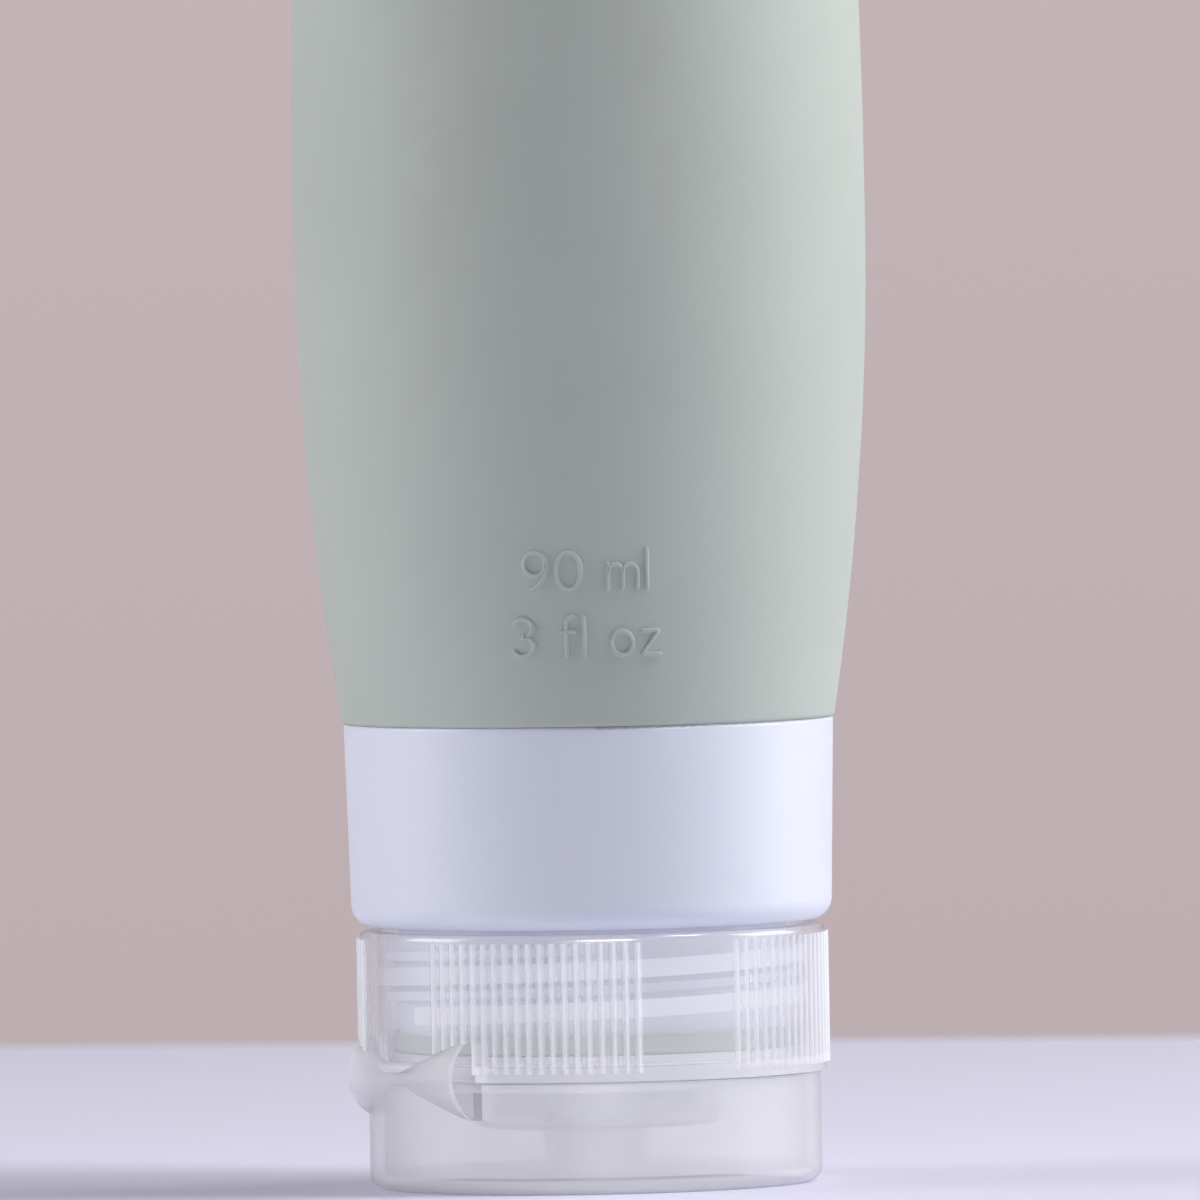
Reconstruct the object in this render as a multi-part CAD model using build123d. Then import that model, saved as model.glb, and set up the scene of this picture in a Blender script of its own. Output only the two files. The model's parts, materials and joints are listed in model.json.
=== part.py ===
"""Travel silicone bottle, standing upside down on its flip lid.

Millimetres, +Z up. The origin is the centre of the lid's flat outer face, on which the bottle stands.
-Y is the front, where the capacity mark sits. The cap and its lid are modelled with the hinge on +X and
are then turned about Z to where the cap comes to rest when it is screwed tight.
"""

import os
from math import pi, sqrt

from build123d import *

os.makedirs("parts", exist_ok=True)

# Flip lid
lid_height = 8.9
lid_wall = 1.2
lid_face_thickness = 1.3
lid_edge_round = 1.2
lid_rim_chamfer = 0.15
plug_wall = 0.8
plug_entry = 0.5  # how far the plug reaches into the outlet
plug_clearance = 0.25

# Joint between lid and cap base
parting_gap = 0.15
lid_inset = 0.5  # the cap base stands out past the lid by this
rim_wall = 0.65
rim_depth = 0.9
rim_clearance = 0.15

# Butterfly hinge
hinge_heading = 209.5  # degrees about Z, from +X
hinge_inset = 0.6  # from the skirt's outside in to the hinge's axis
web_thickness = 0.4
web_half_width = 8.2
web_waist_half_width = 1.2
web_height_base = 3.2  # at the free edge, above the hinge's axis
web_height_lid = 2.95  # at the free edge, below the hinge's axis
waist_height_base = 0.75
waist_height_lid = 0.4
web_slot = 1.1  # see-through gap beside each free edge
notch_backing = 1.0  # wall left behind the web in the cap base

# Cap base
base_radius = 18.7  # of the bare skirt, which the lid, collar and barrel follow
base_height = 11.75
skirt_wall = 1.45
skirt_edge_round = 0.5
deck_thickness = 1.15
turret_radius = 9.8
turret_height = 4.2
turret_face_thickness = 0.9
turret_edge_round = 0.5
outlet_radius = 4.4
pocket_radius = 8.3
grip_rib_height = 0.3
grip_rib_width = 0.75
grip_rib_pitch = 3.0  # degrees
grip_rib_count = 19  # in each of the four groups
grip_rib_margin = 0.65  # bare skirt beyond each end of a rib
hinge_to_first_rib = 17.5  # degrees from the hinge to the nearer groups
hinge_to_second_group = 98.5  # degrees from the hinge to the farther groups
thumb_scoop_radius = 2.2
thumb_scoop_length = 13.0
thumb_scoop_depth = 0.9

# Valve and its retainer
valve_flange_thickness = 0.9
membrane_radius = 4.2
membrane_flat_radius = 2.8
membrane_thickness = 0.45
membrane_rise = 1.3
slit_length = 5.0
slit_width = 0.12
retainer_bore_radius = 5.2
retainer_foot_thickness = 1.2
retainer_wall = 1.1
pocket_clearance = 0.02

# Gasket and silicone lip
gasket_thickness = 0.8
gasket_clearance = 0.3
lip_thickness = 1.6
lip_overhang = 0.6  # past the sleeve's outside
lip_edge_round = 0.4
lip_clearance = 0.4

# Collar
collar_gap = 0.35  # between the screwed-down cap and the collar
collar_height = 16.3
collar_overhang = 0.6  # past the cap base
collar_flare = 0.4  # from the collar's bottom to its top
collar_wall = 1.5
collar_floor = 1.5
collar_bottom_round = 1.7
collar_top_round = 0.3
sleeve_wall = 1.45
thread_room = 1.65  # between the sleeve and the cap's skirt
collar_rib_count = 12
collar_rib_thickness = 1.0
collar_rib_drop = 2.0  # below the collar's top

# Silicone body
body_length = 90.55  # from the collar's top to the far end
body_overhang = 0.1  # past the collar's top
barrel_swell = 3.2  # from the collar's top to the widest level
widest_height = 40.0  # above the collar's top
far_end_taper = 1.7  # from the widest level to the far end, before its corner is rounded
far_corner_round = 6.0
body_wall = 2.8
far_end_wall = 4.0
dish_radius = 12.0
dish_depth = 1.2
shoulder_thickness = 3.0
shoulder_round = 2.5
neck_wall = 2.0
neck_clearance = 0.05

# Thread pitch, which sets how far the cap moves for each turn
thread_pitch = 3.2
turns_to_clear = 3.5

overrun = 5.0  # how far cutters pass through what they cut
edge_match = 0.01  # how closely an edge has to lie where it is looked for

# Levels, from the standing face upwards
base_bottom = lid_height + parting_gap
hinge_level = lid_height + parting_gap / 2
deck_top = base_bottom + deck_thickness
base_top = base_bottom + base_height
gasket_top = deck_top + gasket_thickness
sleeve_end = gasket_top + lip_thickness
collar_bottom = base_top + collar_gap
collar_top = collar_bottom + collar_height
far_end = collar_top + body_length
turret_end = base_bottom - turret_height
pocket_floor = turret_end + turret_face_thickness
valve_top = pocket_floor + valve_flange_thickness

# Radii that follow from the cap base's and from the fits
lid_radius = base_radius - lid_inset
hinge_offset = base_radius - hinge_inset
skirt_bore = base_radius - skirt_wall
sleeve_radius = skirt_bore - thread_room
lip_radius = sleeve_radius + lip_overhang
seat_bore = lip_radius + lip_clearance
rim_radius = lid_radius - lid_wall - rim_clearance
neck_radius = sleeve_radius - sleeve_wall - neck_clearance
neck_bore = neck_radius - neck_wall
collar_bottom_radius = base_radius + collar_overhang
collar_top_radius = collar_bottom_radius + collar_flare
body_mouth_radius = collar_top_radius + body_overhang
widest_radius = body_mouth_radius + barrel_swell
far_end_radius = widest_radius - far_end_taper


def ring(outer, inner, bottom, top):
    """A plain ring between two levels."""
    height = top - bottom
    blank = Cylinder(outer, height) - Cylinder(inner, height)
    return Pos(0, 0, bottom + height / 2) * blank


def disc(radius, bottom, top):
    """A plain disc between two levels."""
    return Pos(0, 0, (bottom + top) / 2) * Cylinder(radius, top - bottom)


def turned(*edges):
    """The solid that a closed outline in the XZ plane sweeps about Z."""
    return revolve(make_face(edges), Axis.Z)


def outer_edges(solid, level, radius):
    """The round edges of a solid at one level and radius."""
    found = solid.edges().filter_by(GeomType.CIRCLE)
    level_ok = [e for e in found if abs(e.center().Z - level) < edge_match]
    return [e for e in level_ok if abs(e.radius - radius) < edge_match]


def in_place(solid):
    """Turns a piece of the cap from the modelling heading to its resting heading."""
    return Rot(0, 0, hinge_heading) * solid


def barrel(inset, bottom, top):
    """The barrel's form, drawn in by a wall and cut between two levels.

    Two arcs meet at the widest level, where both run parallel to the axis.
    """
    widest = (widest_radius - inset, 0, collar_top + widest_height)
    low = (body_mouth_radius - inset, 0, collar_top)
    high = (far_end_radius - inset, 0, far_end)
    outline = [
        TangentArc(widest, low, tangent=(0, 0, -1)),
        Line(low, (0, 0, collar_top)),
        Line((0, 0, collar_top), (0, 0, far_end)),
        Line((0, 0, far_end), high),
        TangentArc(widest, high, tangent=(0, 0, 1)),
    ]
    length = top - bottom
    kept = Pos(0, 0, (bottom + top) / 2) * Cylinder(widest_radius + overrun, length)
    return turned(*outline) & kept


def hollow():
    """The space inside the barrel, without the neck."""
    space = barrel(body_wall, collar_top + shoulder_thickness, far_end - far_end_wall)
    space = fillet(space.edges().group_by(Axis.Z)[-1], far_corner_round - body_wall)
    return fillet(space.edges().group_by(Axis.Z)[0], shoulder_round)


def silicone_body():
    """Barrel, shoulder, neck and the lip that folds over the sleeve's end."""
    outside = barrel(0, collar_top, far_end)
    outside = fillet(outside.edges().group_by(Axis.Z)[-1], far_corner_round)
    dish = turned(
        Line((0, 0, far_end - dish_depth), (0, 0, far_end)),
        Line((0, 0, far_end), (dish_radius, 0, far_end)),
        TangentArc((0, 0, far_end - dish_depth), (dish_radius, 0, far_end), tangent=(1, 0, 0)),
    )
    neck = disc(neck_radius, gasket_top, collar_top)
    lip = disc(lip_radius, gasket_top, sleeve_end)
    lip = fillet(outer_edges(lip, gasket_top, lip_radius), lip_edge_round)
    bore = disc(neck_bore, gasket_top - overrun, collar_top + shoulder_thickness + overrun)
    return outside + neck + lip - hollow() - bore - dish


def collar():
    """Outer wall, floor and radial ribs round the sleeve that the cap screws on."""
    wall = turned(
        Line((0, 0, collar_bottom), (collar_bottom_radius, 0, collar_bottom)),
        Line((collar_bottom_radius, 0, collar_bottom), (collar_top_radius, 0, collar_top)),
        Line((collar_top_radius, 0, collar_top), (0, 0, collar_top)),
        Line((0, 0, collar_top), (0, 0, collar_bottom)),
    )
    wall = fillet(outer_edges(wall, collar_bottom, collar_bottom_radius), collar_bottom_round)
    wall = fillet(outer_edges(wall, collar_top, collar_top_radius), collar_top_round)
    inside_top = collar_top_radius - collar_wall
    inside_bottom = collar_bottom_radius - collar_wall
    floor = collar_bottom + collar_floor
    channel = turned(
        Line((sleeve_radius, 0, floor), (inside_bottom, 0, floor)),
        Line((inside_bottom, 0, floor), (inside_top, 0, collar_top)),
        Line((inside_top, 0, collar_top), (sleeve_radius, 0, collar_top)),
        Line((sleeve_radius, 0, collar_top), (sleeve_radius, 0, floor)),
    )
    rib_height = collar_top - collar_rib_drop - floor
    rib_reach = collar_bottom_radius - collar_wall / 2
    rib = Pos(rib_reach / 2, 0, floor + rib_height / 2)
    rib *= Box(rib_reach, collar_rib_thickness, rib_height)
    ribs = [Rot(0, 0, 360 / collar_rib_count * i) * rib for i in range(collar_rib_count)]
    sleeve = disc(sleeve_radius, sleeve_end, collar_top)
    bore = disc(sleeve_radius - sleeve_wall, sleeve_end - overrun, collar_top + overrun)
    return wall - channel + ribs + sleeve - bore


def gasket():
    """The soft ring that the silicone lip presses on the cap's deck."""
    return ring(seat_bore - gasket_clearance, neck_bore, deck_top, gasket_top)


def butterfly(side_height, waist_height, half_width, direction):
    """Half of the hinge's outline, seen square on: a low waist between two tall ends."""
    level = hinge_level
    waist = level + direction * waist_height
    tall = level + direction * side_height
    slot = half_width - web_half_width
    points = [
        (-half_width, level),
        (-half_width, tall),
        *([(-web_half_width, tall)] if slot else []),
        (-web_waist_half_width, waist),
        (web_waist_half_width, waist),
        *([(web_half_width, tall)] if slot else []),
        (half_width, tall),
        (half_width, level),
    ]
    face = make_face(Polyline(*points, close=True))
    return extrude(Plane.YZ * face, base_radius + overrun)


def hinge_web():
    """The thin bowed web, which narrows to a waist on the hinge's axis."""
    free_top = hinge_level + web_height_base
    free_bottom = hinge_level - web_height_lid
    at_base = sqrt(base_radius**2 - web_half_width**2)
    at_lid = sqrt(lid_radius**2 - web_half_width**2)
    bow = ThreePointArc(
        (at_base, 0, free_top),
        (hinge_offset, 0, hinge_level),
        (at_lid, 0, free_bottom),
    )
    inner = Pos(-web_thickness, 0, 0) * bow
    band = make_face([bow, Line(bow @ 1, inner @ 1), inner, Line(inner @ 0, bow @ 0)])
    band = extrude(band, web_half_width, both=True)
    upper = butterfly(web_height_base, waist_height_base, web_half_width, 1)
    lower = butterfly(web_height_lid, waist_height_lid, web_half_width, -1)
    return in_place((band & upper) + (band & lower))


def hinge_notch(side_height, waist_height, direction, backing_radius):
    """What the web's folds and its side slots cut from the cap base or the lid."""
    cutter = butterfly(side_height, waist_height, web_half_width + web_slot, direction)
    reach = side_height + overrun
    backing = disc(backing_radius, hinge_level - reach, hinge_level + reach)
    return cutter - backing


def grip_ribs():
    """Four groups of fine upright ribs with a V section, alike on both sides of the hinge."""
    crest = (base_radius + grip_rib_height, 0)
    root = base_radius - skirt_wall / 2
    flank = [(root, grip_rib_width / 2), (base_radius, grip_rib_width / 2)]
    section = [*flank, crest, *[(x, -y) for x, y in reversed(flank)]]
    rib = make_face(Polyline(*section, close=True))
    rib = extrude(rib, base_height - 2 * grip_rib_margin)
    rib = Pos(0, 0, base_bottom + grip_rib_margin) * rib
    starts = (hinge_to_first_rib, hinge_to_second_group)
    angles = [start + grip_rib_pitch * i for start in starts for i in range(grip_rib_count)]
    return [Rot(0, 0, side * angle) * rib for angle in angles for side in (1, -1)]


def cap_base():
    """Skirt with grip ribs, deck, locating rim and the turret that holds the valve."""
    skirt = disc(base_radius, base_bottom, base_top)
    skirt = fillet(outer_edges(skirt, base_top, base_radius), skirt_edge_round)
    skirt += grip_ribs()
    skirt -= disc(seat_bore, deck_top, base_top + overrun)
    skirt -= disc(skirt_bore, sleeve_end, base_top + overrun)
    rim = ring(rim_radius, rim_radius - rim_wall, base_bottom - rim_depth, base_bottom)
    turret = disc(turret_radius, turret_end, base_bottom)
    turret = fillet(outer_edges(turret, turret_end, turret_radius), turret_edge_round)
    pocket = disc(pocket_radius, pocket_floor, deck_top + overrun)
    outlet = disc(outlet_radius, turret_end - overrun, pocket_floor + overrun)
    backing = seat_bore + notch_backing
    notch = hinge_notch(web_height_base, waist_height_base, 1, backing)
    scoop_reach = base_radius + thumb_scoop_radius - thumb_scoop_depth
    scoop = Pos(-scoop_reach, 0, base_bottom) * Rot(90, 0, 0)
    scoop *= Cylinder(thumb_scoop_radius, thumb_scoop_length)
    return in_place(skirt + rim + turret - pocket - outlet - notch - scoop)


def valve():
    """A flanged disc with a raised flat membrane, cut by a cross slit."""
    radius = pocket_radius - pocket_clearance
    under = pocket_floor + membrane_rise
    top = under + membrane_thickness
    outline = Polyline(
        (0, 0, under),
        (membrane_flat_radius, 0, under),
        (membrane_radius, 0, pocket_floor),
        (radius, 0, pocket_floor),
        (radius, 0, valve_top),
        (membrane_radius, 0, valve_top),
        (membrane_flat_radius + membrane_thickness / 2, 0, top),
        (0, 0, top),
        close=True,
    )
    blank = turned(outline)
    slit = Pos(0, 0, top) * Box(slit_length, slit_width, top - pocket_floor)
    return in_place(blank - slit - Rot(0, 0, 90) * slit)


def valve_retainer():
    """The snap ring that holds the valve's flange down in its pocket."""
    radius = pocket_radius - pocket_clearance
    foot = ring(radius, retainer_bore_radius, valve_top, valve_top + retainer_foot_thickness)
    wall = ring(radius, radius - retainer_wall, valve_top, deck_top)
    return in_place(foot + wall)


def flip_lid():
    """A cup with the plug that closes the outlet."""
    cup = disc(lid_radius, 0, lid_height)
    cup = fillet(outer_edges(cup, 0, lid_radius), lid_edge_round)
    cup = chamfer(outer_edges(cup, lid_height, lid_radius), lid_rim_chamfer)
    cup -= disc(lid_radius - lid_wall, lid_face_thickness, lid_height + overrun)
    plug_radius = outlet_radius - plug_clearance
    plug = ring(plug_radius, plug_radius - plug_wall, lid_face_thickness, turret_end + plug_entry)
    notch = hinge_notch(web_height_lid, waist_height_lid, -1, rim_radius)
    return in_place(cup - notch + plug)


nodes = {
    "silicone_body": silicone_body,
    "collar": collar,
    "gasket": gasket,
    "cap_base": cap_base,
    "valve": valve,
    "valve_retainer": valve_retainer,
    "flip_lid": flip_lid,
    "hinge_web": hinge_web,
}

for name, build in nodes.items():
    export_step(build(), f"parts/{name}.step")

in_barrel = hollow().volume
in_neck = pi * neck_bore**2 * (collar_top + shoulder_thickness - gasket_top)
print(f"height {far_end:.2f}, widest {2 * widest_radius:.1f}")
print(f"contents in cubic mm: barrel {in_barrel:.0f}, neck {in_neck:.0f}")
print(f"cap travel {thread_pitch * turns_to_clear:.2f} in {turns_to_clear} turns")
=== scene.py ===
"""The looks of a travel silicone bottle that stands on its flip lid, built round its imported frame.

Metres, +Z up. The origin is the centre of the lid's flat face, and the capacity mark faces -Y.
"""

import json
import math

import bpy
import numpy as np
from mathutils import Matrix, Vector


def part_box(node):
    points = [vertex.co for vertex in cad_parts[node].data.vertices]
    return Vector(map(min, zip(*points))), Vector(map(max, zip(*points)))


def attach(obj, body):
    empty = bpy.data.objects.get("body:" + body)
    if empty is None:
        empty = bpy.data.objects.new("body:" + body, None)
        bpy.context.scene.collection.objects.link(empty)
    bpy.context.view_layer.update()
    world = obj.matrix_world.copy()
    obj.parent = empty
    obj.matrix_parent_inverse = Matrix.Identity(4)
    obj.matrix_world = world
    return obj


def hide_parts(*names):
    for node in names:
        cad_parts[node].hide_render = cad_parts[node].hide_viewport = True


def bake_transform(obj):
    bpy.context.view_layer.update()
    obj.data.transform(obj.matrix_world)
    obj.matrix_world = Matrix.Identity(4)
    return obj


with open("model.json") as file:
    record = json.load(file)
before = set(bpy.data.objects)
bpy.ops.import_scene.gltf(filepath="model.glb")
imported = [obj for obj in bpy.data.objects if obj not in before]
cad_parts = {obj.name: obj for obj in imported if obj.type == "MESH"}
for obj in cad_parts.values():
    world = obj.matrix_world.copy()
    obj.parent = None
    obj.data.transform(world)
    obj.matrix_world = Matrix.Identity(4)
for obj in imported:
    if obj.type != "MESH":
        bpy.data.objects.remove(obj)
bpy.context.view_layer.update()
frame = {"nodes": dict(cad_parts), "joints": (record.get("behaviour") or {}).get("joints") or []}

MM = 0.001

# The photograph's frame, in its own pixels
PHOTO_SIDE = 1200
FOCAL_PX = 25130
PX_PER_M = 12430
AXIS_COLUMN = 586  # where the bottle's axis crosses the middle row
FOOT_ROW = 1184.7  # the row of the axis at the floor
HORIZON_ROW = -57
ROLL_DEG = 1.05
SENSOR_WIDTH = 36

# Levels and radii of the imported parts
collar_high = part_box("collar")[1]
gasket_low, gasket_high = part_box("gasket")
body_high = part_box("silicone_body")[1]
lid_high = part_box("flip_lid")[1]
hinge_at = Vector(next(j["pos_m"] for j in frame["joints"] if j["name"] == "lid_hinge"))
HINGE_HEADING = math.atan2(hinge_at.y, hinge_at.x)
HINGE_OFFSET = math.hypot(hinge_at.x, hinge_at.y)

# The silicone moulding
WIDEST_RADIUS = body_high.x
WIDEST_LEVEL = collar_high.z + 40 * MM
MOUTH_RADIUS = 19.8 * MM
MOUTH_ROUND = 0.35 * MM
FAR_RADIUS = 21.3 * MM
FAR_LEVEL = body_high.z
FAR_ROUND = 6 * MM
WALL = 2.8 * MM
FAR_WALL = 4 * MM
DISH_RADIUS = 12 * MM
DISH_DEPTH = 1.2 * MM
SHOULDER = 3 * MM
SHOULDER_ROUND = 2.5 * MM
LIP_RADIUS = 16.2 * MM
LIP_THICKNESS = 1.6 * MM
LIP_ROUND = 0.4 * MM
NECK_RADIUS = 14.1 * MM
NECK_BORE = 12.1 * MM

# The thread, on the collar's sleeve and in the cap's skirt
SLEEVE_RADIUS = 15.6 * MM
NECK_THREAD_CREST = 16.6 * MM
SKIRT_BORE = 17.25 * MM
CAP_THREAD_CREST = 16.3 * MM
THREAD_PITCH = 3.2 * MM
THREAD_HALF_ROOT = 0.72 * MM
THREAD_HALF_CREST = 0.34 * MM
THREAD_SUNK = 0.15 * MM
THREAD_LEVEL = 14.2 * MM
THREAD_HEADING = 0.6
THREAD_STEPS = 96  # in one turn
THREAD_FADE_STEPS = 12  # at each end
THREAD_LEAST_RISE = 0.05

# The cap's grip ribs
SKIRT_RADIUS = 18.7 * MM
RIB_HEIGHT = 0.3 * MM
RIB_FOOT = 0.02 * MM  # where the crests' extra haze, partly a painted highlight for the ribs' glints, begins

# Colours, as sRGB values from 0 to 255
SAGE = (189, 197, 188)
SAGE_DARK = (185, 193, 184)
COLLAR_WHITE = (229, 233, 245)
MILKY = (249, 250, 253)
SEAL_WHITE = (214, 217, 222)
FLOOR_TINT = (236, 234, 255)
# The wall's two colours are painted shade: the wall is darker towards its foot
WALL_TOP = (195, 180, 183)
WALL_FOOT_SHADE = (188, 173, 176)

# The milky plastic, in shares of the light that meets it
MILKY_THROUGH_SHARE = 0.5  # of the haze, seen from the far side
THICK_CLEAR_SHARE = 0.25
THICK_FADE = 0.15 * MM
# At the rib crests the clear share shrinks: partly thicker plastic, partly a painted highlight for the
# ribs' glints
CREST_GLINT_CLEAR_FACTOR = 0.25
MILKY_ROUGHNESS_SPREAD = 0.06
SCHLICK_POWER = 5


def linear(rgb):
    """An sRGB colour as Blender's linear RGBA."""
    shares = [c / 255 for c in rgb]
    return [c / 12.92 if c <= 0.04045 else ((c + 0.055) / 1.055) ** 2.4 for c in shares] + [1]


def new_mesh(name, verts, faces, smooth=True, sharp_deg=None):
    """A mesh object in the scene, with sharp edges beyond an angle."""
    mesh = bpy.data.meshes.new(name)
    mesh.from_pydata([tuple(v) for v in verts], [], faces)
    mesh.validate()
    mesh.polygons.foreach_set("use_smooth", [smooth] * len(mesh.polygons))
    if sharp_deg:
        mesh.set_sharp_from_angle(angle=math.radians(sharp_deg))
    obj = bpy.data.objects.new(name, mesh)
    bpy.context.scene.collection.objects.link(obj)
    return obj


def arc(centre, radius, start, end, steps):
    """Points of a circle's arc in the profile plane, angles in degrees."""
    angles = np.radians(np.linspace(start, end, steps + 1))
    return [(centre[0] + radius * math.cos(a), centre[1] + radius * math.sin(a)) for a in angles]


def lathe(name, outline, segments=256):
    """Turns a closed profile of (radius, level) points about Z. Points on the axis are shared."""
    on_axis = 1e-7
    verts, rings = [], []
    angles = np.linspace(0, 2 * math.pi, segments, endpoint=False)
    for radius, level in outline:
        if radius < on_axis:
            rings.append([len(verts)] * segments)
            verts.append((0, 0, level))
            continue
        rings.append(list(range(len(verts), len(verts) + segments)))
        verts += [(radius * math.cos(a), radius * math.sin(a), level) for a in angles]
    faces = []
    for low, high in zip(rings, rings[1:] + rings[:1]):
        for i in range(segments):
            j = (i + 1) % segments
            corners = list(dict.fromkeys([low[i], low[j], high[j], high[i]]))
            if len(corners) > 2:
                faces.append(corners)
    return new_mesh(name, verts, faces, sharp_deg=35)


def barrel_radius(level, inset=0.0):
    """The barrel's radius at a level: two arcs that meet at the widest level."""
    end_radius, end_level = (
        (MOUTH_RADIUS, collar_high.z) if level < WIDEST_LEVEL else (FAR_RADIUS, FAR_LEVEL)
    )
    height, drop = abs(end_level - WIDEST_LEVEL), WIDEST_RADIUS - end_radius
    bend = (height**2 + drop**2) / (2 * drop)
    away = level - WIDEST_LEVEL
    return WIDEST_RADIUS - inset - (bend - math.sqrt(bend**2 - away**2))


def plug(tree, socket, value):
    """Links a node's input to another node's output, or sets it to a plain value."""
    if isinstance(value, bpy.types.NodeSocket):
        tree.links.new(value, socket)
    else:
        socket.default_value = value


def calculate(tree, operation, *values):
    """The result of a Math node."""
    node = tree.nodes.new("ShaderNodeMath")
    node.operation = operation
    for socket, value in zip(node.inputs, values):
        plug(tree, socket, value)
    return node.outputs["Value"]


def map_range(tree, source, before=(0, 1), after=(0, 1)):
    """Maps a value from one range to another, and keeps it inside the second."""
    node = tree.nodes.new("ShaderNodeMapRange")
    node.inputs["From Min"].default_value, node.inputs["From Max"].default_value = before
    node.inputs["To Min"].default_value, node.inputs["To Max"].default_value = after
    tree.links.new(source, node.inputs["Value"])
    return node.outputs["Result"]


def own_place(tree):
    """The place on the object, in its own coordinates."""
    return tree.nodes.new("ShaderNodeTexCoord").outputs["Object"]


def height_of(tree, place):
    """The Z of a vector socket."""
    split = tree.nodes.new("ShaderNodeSeparateXYZ")
    tree.links.new(place, split.inputs["Vector"])
    return split.outputs["Z"]


def blended(tree, share, first, second):
    """Mixes two shader sockets. share is how much of the second shows."""
    mix = tree.nodes.new("ShaderNodeMixShader")
    plug(tree, mix.inputs["Fac"], share)
    tree.links.new(first, mix.inputs[1])
    tree.links.new(second, mix.inputs[2])
    return mix.outputs["Shader"]


def material(name, colour, roughness):
    """A Principled material, its shader and its node tree."""
    made = bpy.data.materials.new(name)
    made.use_nodes = True
    shader = made.node_tree.nodes["Principled BSDF"]
    shader.inputs["Base Color"].default_value = linear(colour)
    shader.inputs["Roughness"].default_value = roughness
    return made, shader, made.node_tree


def add_noise(tree, scale, detail=2.0, roughness=0.5):
    """The height of a noise texture in the object's own coordinates."""
    noise = tree.nodes.new("ShaderNodeTexNoise")
    noise.inputs["Scale"].default_value = scale
    noise.inputs["Detail"].default_value = detail
    noise.inputs["Roughness"].default_value = roughness
    tree.links.new(own_place(tree), noise.inputs["Vector"])
    return noise.outputs["Fac"]


def add_bump(tree, shader, height, strength, distance):
    """A bump from a height socket, chained before any bump the shader already has."""
    bump = tree.nodes.new("ShaderNodeBump")
    bump.inputs["Strength"].default_value = strength
    bump.inputs["Distance"].default_value = distance
    tree.links.new(height, bump.inputs["Height"])
    if shader.inputs["Normal"].is_linked:
        tree.links.new(shader.inputs["Normal"].links[0].from_socket, bump.inputs["Normal"])
    tree.links.new(bump.outputs["Normal"], shader.inputs["Normal"])


def ramp(tree, source, stops):
    """A colour ramp on a value socket. stops are (position, linear colour)."""
    node = tree.nodes.new("ShaderNodeValToRGB")
    for element, (position, colour) in zip(node.color_ramp.elements, stops):
        element.position = position
        element.color = colour
    tree.links.new(source, node.inputs["Fac"])
    return node.outputs["Color"]


def silicone_material():
    """Matt silicone: faint clouding, a fine moulded grain and a soft skin sheen."""
    made, shader, tree = material("silicone", SAGE, roughness=0.62)
    clouds = add_noise(tree, scale=60, detail=3)
    tint = ramp(tree, clouds, [(0.3, linear(SAGE_DARK)), (0.7, linear(SAGE))])
    tree.links.new(tint, shader.inputs["Base Color"])
    shader.inputs["IOR"].default_value = 1.41
    shader.inputs["Specular IOR Level"].default_value = 0.35
    shader.inputs["Sheen Weight"].default_value = 0.08
    shader.inputs["Sheen Roughness"].default_value = 0.5
    grain = add_noise(tree, scale=5200, detail=1)
    add_bump(tree, shader, grain, strength=0.12, distance=0.02 * MM)
    waves = add_noise(tree, scale=240, detail=2)
    add_bump(tree, shader, waves, strength=0.15, distance=0.03 * MM)
    return made


def collar_material():
    """Satin white plastic with the slightest moulding ripple."""
    made, shader, tree = material("collar_white", COLLAR_WHITE, roughness=0.38)
    shader.inputs["IOR"].default_value = 1.49
    shader.inputs["Subsurface Weight"].default_value = 0.2
    shader.inputs["Subsurface Radius"].default_value = (0.9, 0.9, 1.0)
    shader.inputs["Subsurface Scale"].default_value = 1 * MM
    worn = add_noise(tree, scale=900, detail=3)
    tree.links.new(map_range(tree, worn, after=(0.34, 0.44)), shader.inputs["Roughness"])
    ripple = add_noise(tree, scale=350, detail=1)
    add_bump(tree, shader, ripple, strength=0.08, distance=0.03 * MM)
    return made


def seal_material():
    """Soft cloudy white silicone, for the gasket and the valve."""
    made, shader, tree = material("seal_silicone", SEAL_WHITE, roughness=0.5)
    shader.inputs["Subsurface Weight"].default_value = 0.3
    shader.inputs["Subsurface Scale"].default_value = 0.6 * MM
    grain = add_noise(tree, scale=3000, detail=1)
    add_bump(tree, shader, grain, strength=0.1, distance=0.02 * MM)
    return made


def grazing_share(tree, least):
    """Schlick's share of light that a clear surface reflects, alike from both of its sides."""
    slope = tree.nodes.new("ShaderNodeLayerWeight").outputs["Facing"]
    return map_range(tree, calculate(tree, "POWER", slope, SCHLICK_POWER), after=(least, 1))


def thick_share(tree, levels, thin, thick):
    """A share that goes from thin to thick between two levels, where the plastic is seen edge on."""
    middle, half = (levels[0] + levels[1]) / 2, (levels[1] - levels[0]) / 2
    away = calculate(tree, "SUBTRACT", height_of(tree, own_place(tree)), middle)
    away = calculate(tree, "ABSOLUTE", away)
    return map_range(tree, away, (half - THICK_FADE, half + THICK_FADE), (thick, thin))


def crest_glint_factor(tree, root, crest):
    """A factor that falls from 1 at the root radius of the grip ribs towards their crests. The thicker
    plastic there is hazier, and the extra haze draws bright lines that are a painted highlight for the
    ribs' glints.
    """
    flat = tree.nodes.new("ShaderNodeVectorMath")
    flat.operation = "MULTIPLY"
    flat.inputs[1].default_value = (1, 1, 0)
    tree.links.new(own_place(tree), flat.inputs[0])
    radius = tree.nodes.new("ShaderNodeVectorMath")
    radius.operation = "LENGTH"
    tree.links.new(flat.outputs["Vector"], radius.inputs[0])
    return map_range(tree, radius.outputs["Value"], (root, crest), (1, CREST_GLINT_CLEAR_FACTOR))


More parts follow.
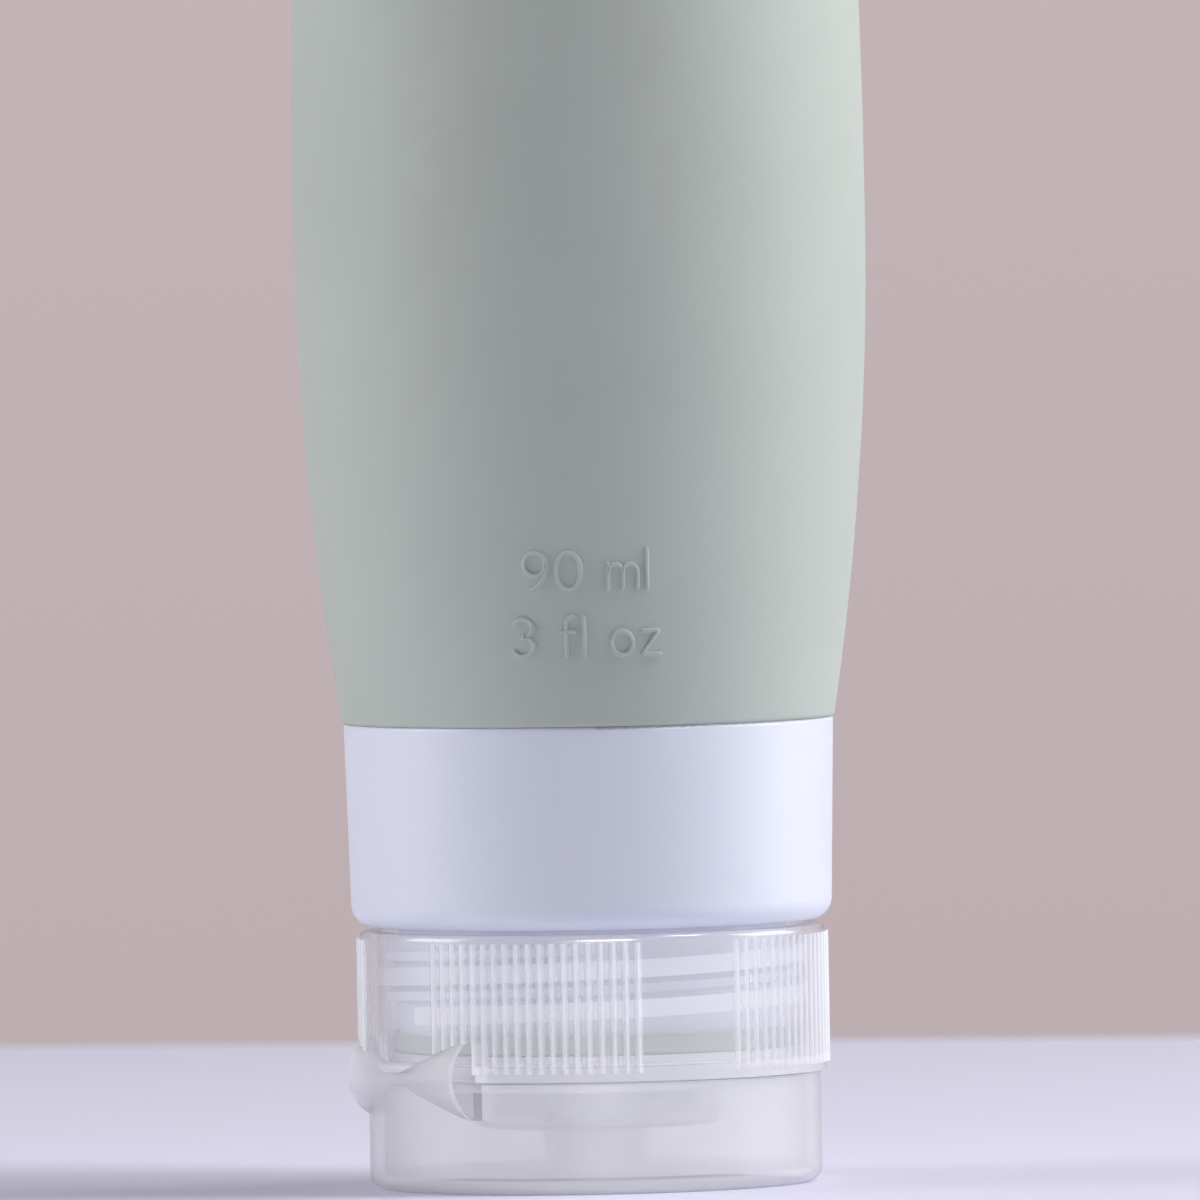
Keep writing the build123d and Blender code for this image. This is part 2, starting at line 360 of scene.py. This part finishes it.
def milky_material(name, clear_share, roughness, least_gloss, thick_levels=None, rib_radii=None):
    """Natural polypropylene: colourless and hazy, with light that passes and scatters through it."""
    made, haze, tree = material(name, MILKY, roughness=0.5)
    haze.inputs["Specular IOR Level"].default_value = 0
    flow = add_noise(tree, scale=260, detail=2)
    add_bump(tree, haze, flow, strength=0.15, distance=0.05 * MM)
    through = tree.nodes.new("ShaderNodeBsdfTranslucent")
    through.inputs["Color"].default_value = linear(MILKY)
    clear = tree.nodes.new("ShaderNodeBsdfTransparent")
    gloss = tree.nodes.new("ShaderNodeBsdfAnisotropic")
    tree.links.new(haze.inputs["Normal"].links[0].from_socket, gloss.inputs["Normal"])
    cloud = add_noise(tree, scale=420, detail=4, roughness=0.6)
    spread = (roughness - MILKY_ROUGHNESS_SPREAD, roughness + MILKY_ROUGHNESS_SPREAD)
    tree.links.new(map_range(tree, cloud, after=spread), gloss.inputs["Roughness"])
    share = clear_share
    if thick_levels:
        share = thick_share(tree, thick_levels, clear_share, THICK_CLEAR_SHARE)
    # Hazier rib crests: partly thicker plastic, partly a painted highlight for the ribs' glints
    if rib_radii:
        share = calculate(tree, "MULTIPLY", share, crest_glint_factor(tree, *rib_radii))
    cloudy = blended(tree, MILKY_THROUGH_SHARE, haze.outputs["BSDF"], through.outputs["BSDF"])
    wall = blended(tree, share, cloudy, clear.outputs["BSDF"])
    skin = blended(tree, grazing_share(tree, least_gloss), wall, gloss.outputs["BSDF"])
    tree.links.new(skin, tree.nodes["Material Output"].inputs["Surface"])
    return made


def paint(obj, made):
    """Gives every face of an object one material."""
    obj.data.materials.clear()
    obj.data.materials.append(made)


def body_outline():
    """The silicone moulding's closed profile: lip, neck, barrel, dished end and the hollow."""
    lip_face, sleeve_end = gasket_high.z, gasket_high.z + LIP_THICKNESS
    points = [(NECK_BORE, lip_face)]
    points += arc((LIP_RADIUS - LIP_ROUND, lip_face + LIP_ROUND), LIP_ROUND, -90, 0, steps=5)
    points += [(LIP_RADIUS, sleeve_end), (NECK_RADIUS, sleeve_end), (NECK_RADIUS, collar_high.z)]
    mouth_level = collar_high.z + MOUTH_ROUND
    mouth_centre = (barrel_radius(mouth_level) - MOUTH_ROUND, mouth_level)
    points += arc(mouth_centre, MOUTH_ROUND, -90, 0, steps=4)
    corner_level = FAR_LEVEL - FAR_ROUND
    for level in np.linspace(mouth_level, corner_level, num=90)[1:]:
        points.append((barrel_radius(level), level))
    corner_centre = (barrel_radius(corner_level) - FAR_ROUND, corner_level)
    points += arc(corner_centre, FAR_ROUND, 0, 90, steps=16)[1:]
    bend = (DISH_RADIUS**2 + DISH_DEPTH**2) / (2 * DISH_DEPTH)
    for radius in np.linspace(DISH_RADIUS, 0, num=16):
        rise = bend - math.sqrt(bend**2 - radius**2)
        points.append((radius, FAR_LEVEL - DISH_DEPTH + rise))
    end_inside = FAR_LEVEL - FAR_WALL
    points.append((0, end_inside))
    inner_round = FAR_ROUND - WALL
    inner_level = end_inside - inner_round
    inner_centre = (barrel_radius(inner_level, WALL) - inner_round, inner_level)
    points += arc(inner_centre, inner_round, 90, 0, steps=8)
    shoulder = collar_high.z + SHOULDER
    low_level = shoulder + SHOULDER_ROUND
    for level in np.linspace(inner_level, low_level, num=40)[1:]:
        points.append((barrel_radius(level, WALL), level))
    low_centre = (barrel_radius(low_level, WALL) - SHOULDER_ROUND, low_level)
    points += arc(low_centre, SHOULDER_ROUND, 0, -90, steps=8)[1:]
    points.append((NECK_BORE, shoulder))
    return points


def thread(name, root, crest, turns, heading, body, made):
    """A right-handed thread ridge that fades out at both ends, half sunk in the wall that carries it."""
    steps = int(turns * THREAD_STEPS)
    out = 1 if crest > root else -1
    sunk = root - out * THREAD_SUNK
    verts, faces = [], []
    for i in range(steps + 1):
        angle = heading + 2 * math.pi * turns * i / steps
        level = THREAD_LEVEL + THREAD_PITCH * turns * i / steps
        fade = min(1, i / THREAD_FADE_STEPS, (steps - i) / THREAD_FADE_STEPS)
        top = sunk + (crest - sunk) * max(fade, THREAD_LEAST_RISE)
        section = (
            (sunk, -THREAD_HALF_ROOT),
            (top, -THREAD_HALF_CREST),
            (top, THREAD_HALF_CREST),
            (sunk, THREAD_HALF_ROOT),
        )
        for radius, side in section:
            verts.append((radius * math.cos(angle), radius * math.sin(angle), level + side))
    for i in range(steps):
        for k in range(4):
            a, b = 4 * i + k, 4 * i + (k + 1) % 4
            faces.append((a, b, b + 4, a + 4) if out < 0 else (a, a + 4, b + 4, b))
    faces += [(0, 1, 2, 3), tuple(4 * steps + k for k in (3, 2, 1, 0))]
    obj = new_mesh(name, verts, faces, sharp_deg=35)
    paint(obj, made)
    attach(obj, body)
    return obj


def circle_through(a, b, c):
    """Centre and radius of the circle through three points of a plane."""
    rows = np.array([[b[0] - a[0], b[1] - a[1]], [c[0] - a[0], c[1] - a[1]]]) * 2
    squares = [p[0] ** 2 + p[1] ** 2 for p in (a, b, c)]
    centre = np.linalg.solve(rows, [squares[1] - squares[0], squares[2] - squares[0]])
    return centre, math.dist(centre, a)


def hinge_film(made):
    """The butterfly web, a curved sheet across the lid's hinge."""
    half_width, half_waist = 8.2 * MM, 1.2 * MM
    up_end, up_waist, down_end, down_waist = 3.2 * MM, 0.75 * MM, 2.95 * MM, 0.4 * MM
    thickness, sunk = 0.4 * MM, 0.08 * MM
    at_base = math.sqrt(SKIRT_RADIUS**2 - half_width**2)
    at_lid = math.sqrt(lid_high.x**2 - half_width**2)
    centre, radius = circle_through(
        (at_base, hinge_at.z + up_end), (HINGE_OFFSET, hinge_at.z), (at_lid, hinge_at.z - down_end)
    )
    across, tall = 56, 40
    verts, faces = [], []
    for depth in (0, thickness):
        for i in range(across + 1):
            t = half_width * (2 * i / across - 1)
            share = max(0, abs(t) - half_waist) / (half_width - half_waist)
            top = hinge_at.z + up_waist + (up_end - up_waist) * share + sunk
            foot = hinge_at.z - down_waist - (down_end - down_waist) * share - sunk
            for k in range(tall + 1):
                level = foot + (top - foot) * k / tall
                out = centre[0] + math.sqrt(radius**2 - (level - centre[1]) ** 2) - depth
                verts.append((out, t, level))
    row, sheet = tall + 1, (across + 1) * (tall + 1)
    for i in range(across):
        for k in range(tall):
            a = i * row + k
            faces.append((a, a + row, a + row + 1, a + 1))
            faces.append((sheet + a, sheet + a + 1, sheet + a + row + 1, sheet + a + row))
    for k in range(tall):
        a, b = k, across * row + k
        faces.append((a, a + 1, sheet + a + 1, sheet + a))
        faces.append((b, sheet + b, sheet + b + 1, b + 1))
    for i in range(across):
        a, b = i * row, i * row + tall
        faces.append((a, sheet + a, sheet + a + row, a + row))
        faces.append((b, b + row, sheet + b + row, sheet + b))
    c, s = math.cos(HINGE_HEADING), math.sin(HINGE_HEADING)
    turned = [(x * c - y * s, x * s + y * c, z) for x, y, z in verts]
    obj = new_mesh("hinge_film", turned, faces, sharp_deg=40)
    paint(obj, made)
    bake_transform(obj)
    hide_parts("hinge_web")
    return obj


def ellipse(cx, cy, rx, ry, start, end, steps=20):
    """Points of an ellipse's arc, angles in degrees."""
    angles = np.radians(np.linspace(start, end, steps + 1))
    return [(cx + rx * math.cos(a), cy + ry * math.sin(a)) for a in angles]


# Plain rounded characters for the capacity mark: strokes in shares of the digit height, then the width
GLYPHS = {
    "9": ([ellipse(0.3, 0.69, 0.3, 0.31, 0, 360, 28), ellipse(0.14, 0.66, 0.46, 0.66, 3, -80)], 0.62),
    "0": ([ellipse(0.33, 0.5, 0.33, 0.5, 0, 360, 32)], 0.66),
    "3": ([ellipse(0.27, 0.75, 0.25, 0.25, 150, -90), ellipse(0.27, 0.26, 0.29, 0.26, 90, -150)], 0.58),
    "m": (
        [
            [(0, 0.66), (0, 0)],
            ellipse(0.2, 0.44, 0.2, 0.22, 180, 0) + [(0.4, 0)],
            ellipse(0.6, 0.44, 0.2, 0.22, 180, 0) + [(0.8, 0)],
        ],
        0.8,
    ),
    "l": ([[(0, 1.04), (0, 0)]], 0.0),
    "f": ([ellipse(0.3, 0.86, 0.16, 0.18, 75, 180) + [(0.14, 0)], [(0, 0.64), (0.34, 0.64)]], 0.34),
    "o": ([ellipse(0.29, 0.32, 0.29, 0.33, 0, 360, 28)], 0.58),
    "z": ([[(0, 0.64), (0.46, 0.64), (0, 0), (0.48, 0)]], 0.48),
    " ": ([], 0.22),
}
GLYPH_GAP_SHARE = 0.26
MARK_LINES = (("90 ml", 48.5 * MM), ("3 fl oz", 43.2 * MM))  # with the level of each line's foot
DIGIT_HEIGHT = 2.95 * MM
STROKE_HALF_WIDTH = 0.2 * MM
STROKE_RISE = 0.24 * MM
STROKE_SPACING = 0.12 * MM
STROKE_SIDES = 10
STROKE_END_SHARES = (0.45, 0.8, 0.97)  # how far back each ring of a rounded end lies


def stroke_points(points):
    """A stroke's points, spread evenly."""
    flat = np.array(points, float)
    lengths = np.r_[0, np.cumsum(np.hypot(*np.diff(flat, axis=0).T))]
    count = max(2, int(lengths[-1] / STROKE_SPACING) + 1)
    at = np.linspace(0, lengths[-1], count)
    return np.c_[np.interp(at, lengths, flat[:, 0]), np.interp(at, lengths, flat[:, 1])]


def on_barrel(across, level, lift):
    """A point of the barrel's front, measured across it from the middle and lifted off it."""
    radius = barrel_radius(level)
    angle = across / radius
    return ((radius + lift) * math.sin(angle), -(radius + lift) * math.cos(angle), level)


def add_stroke(verts, faces, points):
    """A raised bead along a stroke, with rounded ends where the stroke is open."""
    ahead = np.gradient(points, axis=0)
    ahead /= np.linalg.norm(ahead, axis=1)[:, None]
    closed = np.allclose(points[0], points[-1])
    rings = [(p, d, 1.0) for p, d in zip(points, ahead)]
    if not closed:
        for share in STROKE_END_SHARES:
            back = share * STROKE_HALF_WIDTH
            size = math.sqrt(1 - share**2)
            rings.insert(0, (points[0] - ahead[0] * back, ahead[0], size))
            rings.append((points[-1] + ahead[-1] * back, ahead[-1], size))
    first = len(verts)
    for p, d, size in rings:
        for k in range(STROKE_SIDES):
            a = 2 * math.pi * k / STROKE_SIDES
            side = STROKE_HALF_WIDTH * size * math.cos(a)
            lift = STROKE_RISE * size * math.sin(a)
            verts.append(on_barrel(p[0] + d[1] * side, p[1] - d[0] * side, lift))
    for i in range(len(rings) - 1):
        for k in range(STROKE_SIDES):
            a = first + i * STROKE_SIDES + k
            b = first + i * STROKE_SIDES + (k + 1) % STROKE_SIDES
            faces.append((a, b, b + STROKE_SIDES, a + STROKE_SIDES))
    if not closed:
        last = first + (len(rings) - 1) * STROKE_SIDES
        faces.append(tuple(first + k for k in reversed(range(STROKE_SIDES))))
        faces.append(tuple(last + k for k in range(STROKE_SIDES)))


def capacity_mark(made):
    """Two lines of raised rounded strokes that follow the barrel's curve."""
    verts, faces = [], []
    for text, foot in MARK_LINES:
        widths = [GLYPHS[c][1] for c in text]
        total = (sum(widths) + GLYPH_GAP_SHARE * (len(text) - 1)) * DIGIT_HEIGHT
        left = -total / 2
        for c, width in zip(text, widths):
            for stroke in GLYPHS[c][0]:
                points = stroke_points(np.array(stroke) * DIGIT_HEIGHT)
                add_stroke(verts, faces, points + (left, foot))
            left += (width + GLYPH_GAP_SHARE) * DIGIT_HEIGHT
    obj = new_mesh("capacity_mark", verts, faces)
    paint(obj, made)
    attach(obj, "bottle")


def lamp(name, at, towards, width, height, power):
    """A white softbox that faces a point."""
    data = bpy.data.lights.new(name, "AREA")
    data.shape = "RECTANGLE"
    data.size, data.size_y, data.energy = width, height, power
    obj = bpy.data.objects.new(name, data)
    obj.location = at
    obj.rotation_euler = (Vector(towards) - Vector(at)).to_track_quat("-Z", "Y").to_euler()
    bpy.context.scene.collection.objects.link(obj)
    return obj


def light_only(source, pieces):
    """Makes a lamp light these pieces and nothing else."""
    lit = bpy.data.collections.new(source.name + "_receivers")
    for piece in pieces:
        lit.objects.link(piece)
    source.light_linking.receiver_collection = lit


def background(tree, colour, strength=1.0):
    """A world background. colour is a socket."""
    node = tree.nodes.new("ShaderNodeBackground")
    node.inputs["Strength"].default_value = strength
    tree.links.new(colour, node.inputs["Color"])
    return node.outputs["Background"]


def world_light():
    """A plain even light, and the wall's colour where the camera looks past the object, painted darker
    towards the wall's foot as painted shade.
    """
    foot_height, dim_height, dim_share = -0.05, 0.7, 0.1
    world = bpy.data.worlds.new("studio")
    bpy.context.scene.world = world
    world.use_nodes = True
    tree = world.node_tree
    tree.nodes.clear()
    height = height_of(tree, tree.nodes.new("ShaderNodeTexCoord").outputs["Generated"])
    # The wall darkens towards its foot: painted shade
    up_wall = map_range(tree, height, (foot_height, 0))
    wall = background(tree, ramp(tree, up_wall, [(0, linear(WALL_FOOT_SHADE)), (1, linear(WALL_TOP))]))
    light = background(tree, map_range(tree, height, (0, dim_height), (1, dim_share)), strength=0.3)
    path = tree.nodes.new("ShaderNodeLightPath")
    seen = path.outputs["Is Camera Ray"]
    for ray in ("Is Glossy Ray", "Is Transmission Ray"):
        seen = calculate(tree, "MAXIMUM", seen, path.outputs[ray])
    out = tree.nodes.new("ShaderNodeOutputWorld")
    tree.links.new(blended(tree, seen, light, wall), out.inputs["Surface"])


def table_top():
    """The plain pale floor, which ends in a soft slanted edge behind the bottle."""
    far, slant, half, near, fade = 0.273, -0.2365, 1.6, -2.6, 0.02
    right_end, left_end = far + slant * half, far - slant * half
    corners = [(-half, near, 0), (half, near, 0), (half, right_end, 0), (-half, left_end, 0)]
    floor = new_mesh("floor", corners, [(0, 1, 2, 3)], smooth=False)
    made, shader, tree = material("pale_floor", FLOOR_TINT, roughness=0.6)
    shader.inputs["Specular IOR Level"].default_value = 0.1
    grain = add_noise(tree, scale=150, detail=3)
    add_bump(tree, shader, grain, strength=0.05, distance=0.1 * MM)
    along = tree.nodes.new("ShaderNodeVectorMath")
    along.operation = "DOT_PRODUCT"
    along.inputs[1].default_value = (-slant, 1, 0)
    tree.links.new(own_place(tree), along.inputs[0])
    edge = map_range(tree, along.outputs["Value"], (far - fade, far), (1, 0))
    tree.links.new(edge, shader.inputs["Alpha"])
    paint(floor, made)


def photo_camera():
    """The photograph's long lens, a little above the bottle's middle and slightly rolled."""
    middle = PHOTO_SIDE / 2
    distance = FOCAL_PX / PX_PER_M
    aim = Vector(((middle - AXIS_COLUMN) / PX_PER_M, 0, (FOOT_ROW - middle) / PX_PER_M))
    pitch = math.atan((middle - HORIZON_ROW) / FOCAL_PX)
    data = bpy.data.cameras.new("photo_camera")
    data.sensor_width = SENSOR_WIDTH
    data.lens = SENSOR_WIDTH * FOCAL_PX / PHOTO_SIDE
    data.clip_start, data.clip_end = 0.05, 50
    camera = bpy.data.objects.new("photo_camera", data)
    camera.location = aim + Vector((0, -distance, distance * math.tan(pitch)))
    level_view = (aim - camera.location).to_track_quat("-Z", "Y").to_matrix().to_4x4()
    rolled_view = level_view @ Matrix.Rotation(-math.radians(ROLL_DEG), 4, "Z")
    camera.rotation_euler = rolled_view.to_euler()
    bpy.context.scene.collection.objects.link(camera)
    bpy.context.scene.camera = camera


deck_levels = (lid_high.z - 1 * MM, gasket_low.z + 0.1 * MM)
lid_face_levels = (-1 * MM, 1.2 * MM)
rib_radii = (SKIRT_RADIUS + RIB_FOOT, SKIRT_RADIUS + RIB_HEIGHT)

silicone = silicone_material()
white = collar_material()
seal = seal_material()
milky_cap = milky_material(
    "milky_cap",
    clear_share=0.74,
    roughness=0.16,
    least_gloss=0.1,
    thick_levels=deck_levels,
    rib_radii=rib_radii,
)
milky_lid = milky_material(
    "milky_lid", clear_share=0.56, roughness=0.24, least_gloss=0.05, thick_levels=lid_face_levels
)
milky_ridge = milky_material("milky_ridge", clear_share=0.2, roughness=0.3, least_gloss=0.04)
milky_film = milky_material("milky_film", clear_share=0.62, roughness=0.2, least_gloss=0.05)

body = lathe("silicone_bottle", body_outline())
paint(body, silicone)
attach(body, "bottle")
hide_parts("silicone_body")
capacity_mark(silicone)

for node, made in {
    "collar": white,
    "gasket": seal,
    "valve": seal,
    "cap_base": milky_cap,
    "flip_lid": milky_lid,
    "valve_retainer": seal,
}.items():
    paint(frame["nodes"][node], made)

neck_thread = thread(
    "neck_thread", SLEEVE_RADIUS, NECK_THREAD_CREST, 1.7, THREAD_HEADING, "bottle", white
)
cap_thread = thread(
    "cap_thread", SKIRT_BORE, CAP_THREAD_CREST, 1.6, THREAD_HEADING + math.pi, "cap", milky_ridge
)
film = hinge_film(milky_film)

world_light()
table_top()
lamp("right_softbox", (0.78, 0.15, 0.3), (0, 0, 0.05), width=0.6, height=0.55, power=4.5)
lamp("left_softbox", (-0.79, -0.02, 0.3), (0, 0, 0.05), width=0.5, height=0.55, power=3.55)
lamp("high_right", (0.42, -0.15, 0.72), (0, 0, 0.02), width=0.2, height=0.2, power=2.6)
lamp("overhead", (0, 0.1, 0.9), (0, 0, 0), width=0.6, height=0.6, power=0.9)
lamp("low_card", (0, -0.9, 0.09), (0, 0, 0.03), width=0.5, height=0.12, power=0.5)

# Stands for the light that scatters inside the milky plastic
milky_fill = lamp("milky_fill", (0.15, -1.2, 0.35), (0, 0, 0.015), width=0.6, height=0.5, power=8.5)
lit_nodes = ("cap_base", "flip_lid", "gasket", "valve", "valve_retainer")
light_only(milky_fill, [film, cap_thread] + [frame["nodes"][node] for node in lit_nodes])
photo_camera()

bpy.context.scene.view_settings.view_transform = "Standard"
